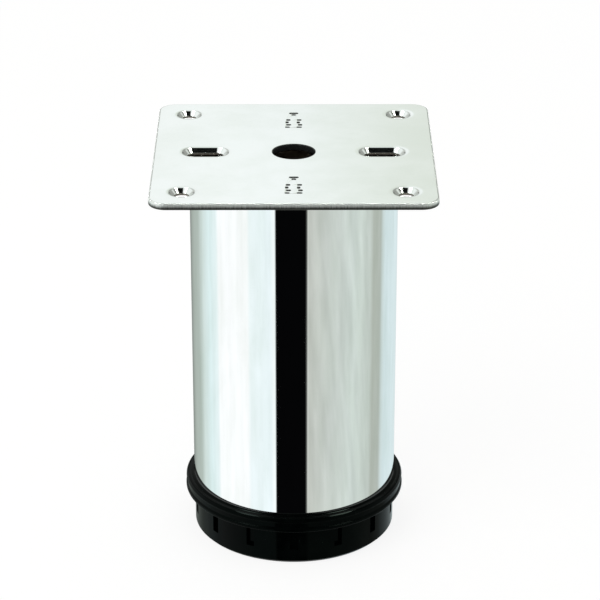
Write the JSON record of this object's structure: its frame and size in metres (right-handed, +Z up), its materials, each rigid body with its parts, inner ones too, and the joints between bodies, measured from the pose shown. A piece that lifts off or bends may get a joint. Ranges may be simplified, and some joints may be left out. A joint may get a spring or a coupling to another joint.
{
  "type": "furniture leg",
  "caption": "Round tubular furniture leg with a square screw-on mounting plate, a plastic end cap and a screw-in levelling foot.",
  "frame": {"origin": "centre of the foot's underside, on the floor, with the foot screwed fully in", "axes": "+Z up along the tube's axis, +X along the line of the two slots in the plate, +Y towards the back edge of the plate"},
  "size_m": [0.08, 0.08, 0.118],
  "materials": {
    "plated_sheet": "bright plated, fine brushed lines",
    "chrome_tube": "mirror chrome on polished steel",
    "black_plastic": "moulded, satin gloss",
    "zinc_steel": "bright zinc plated"
  },
  "bodies": {
    "leg": {"mounting_plate": "plated_sheet", "tube": "chrome_tube", "weld_bead": "chrome_tube", "end_cap": "black_plastic"},
    "insert": {"thread_insert": "zinc_steel"},
    "foot": {"levelling_stud": "zinc_steel", "adjusting_foot": "black_plastic"}
  },
  "joints": [
    {"name": "foot_turn", "type": "hinge", "parent": "leg", "child": "insert", "pos_m": [0, 0, 0.0116], "axis": [0, 0, -1], "range_deg": [0, 2880]},
    {"name": "foot_height", "type": "slide", "parent": "insert", "child": "foot", "axis": [0, 0, -1], "range_m": [0, 0.012]}
  ],
  "couplings": [
    {"joint": "foot_height", "follows": "foot_turn", "m_per_rad": 0.00023873}
  ]
}
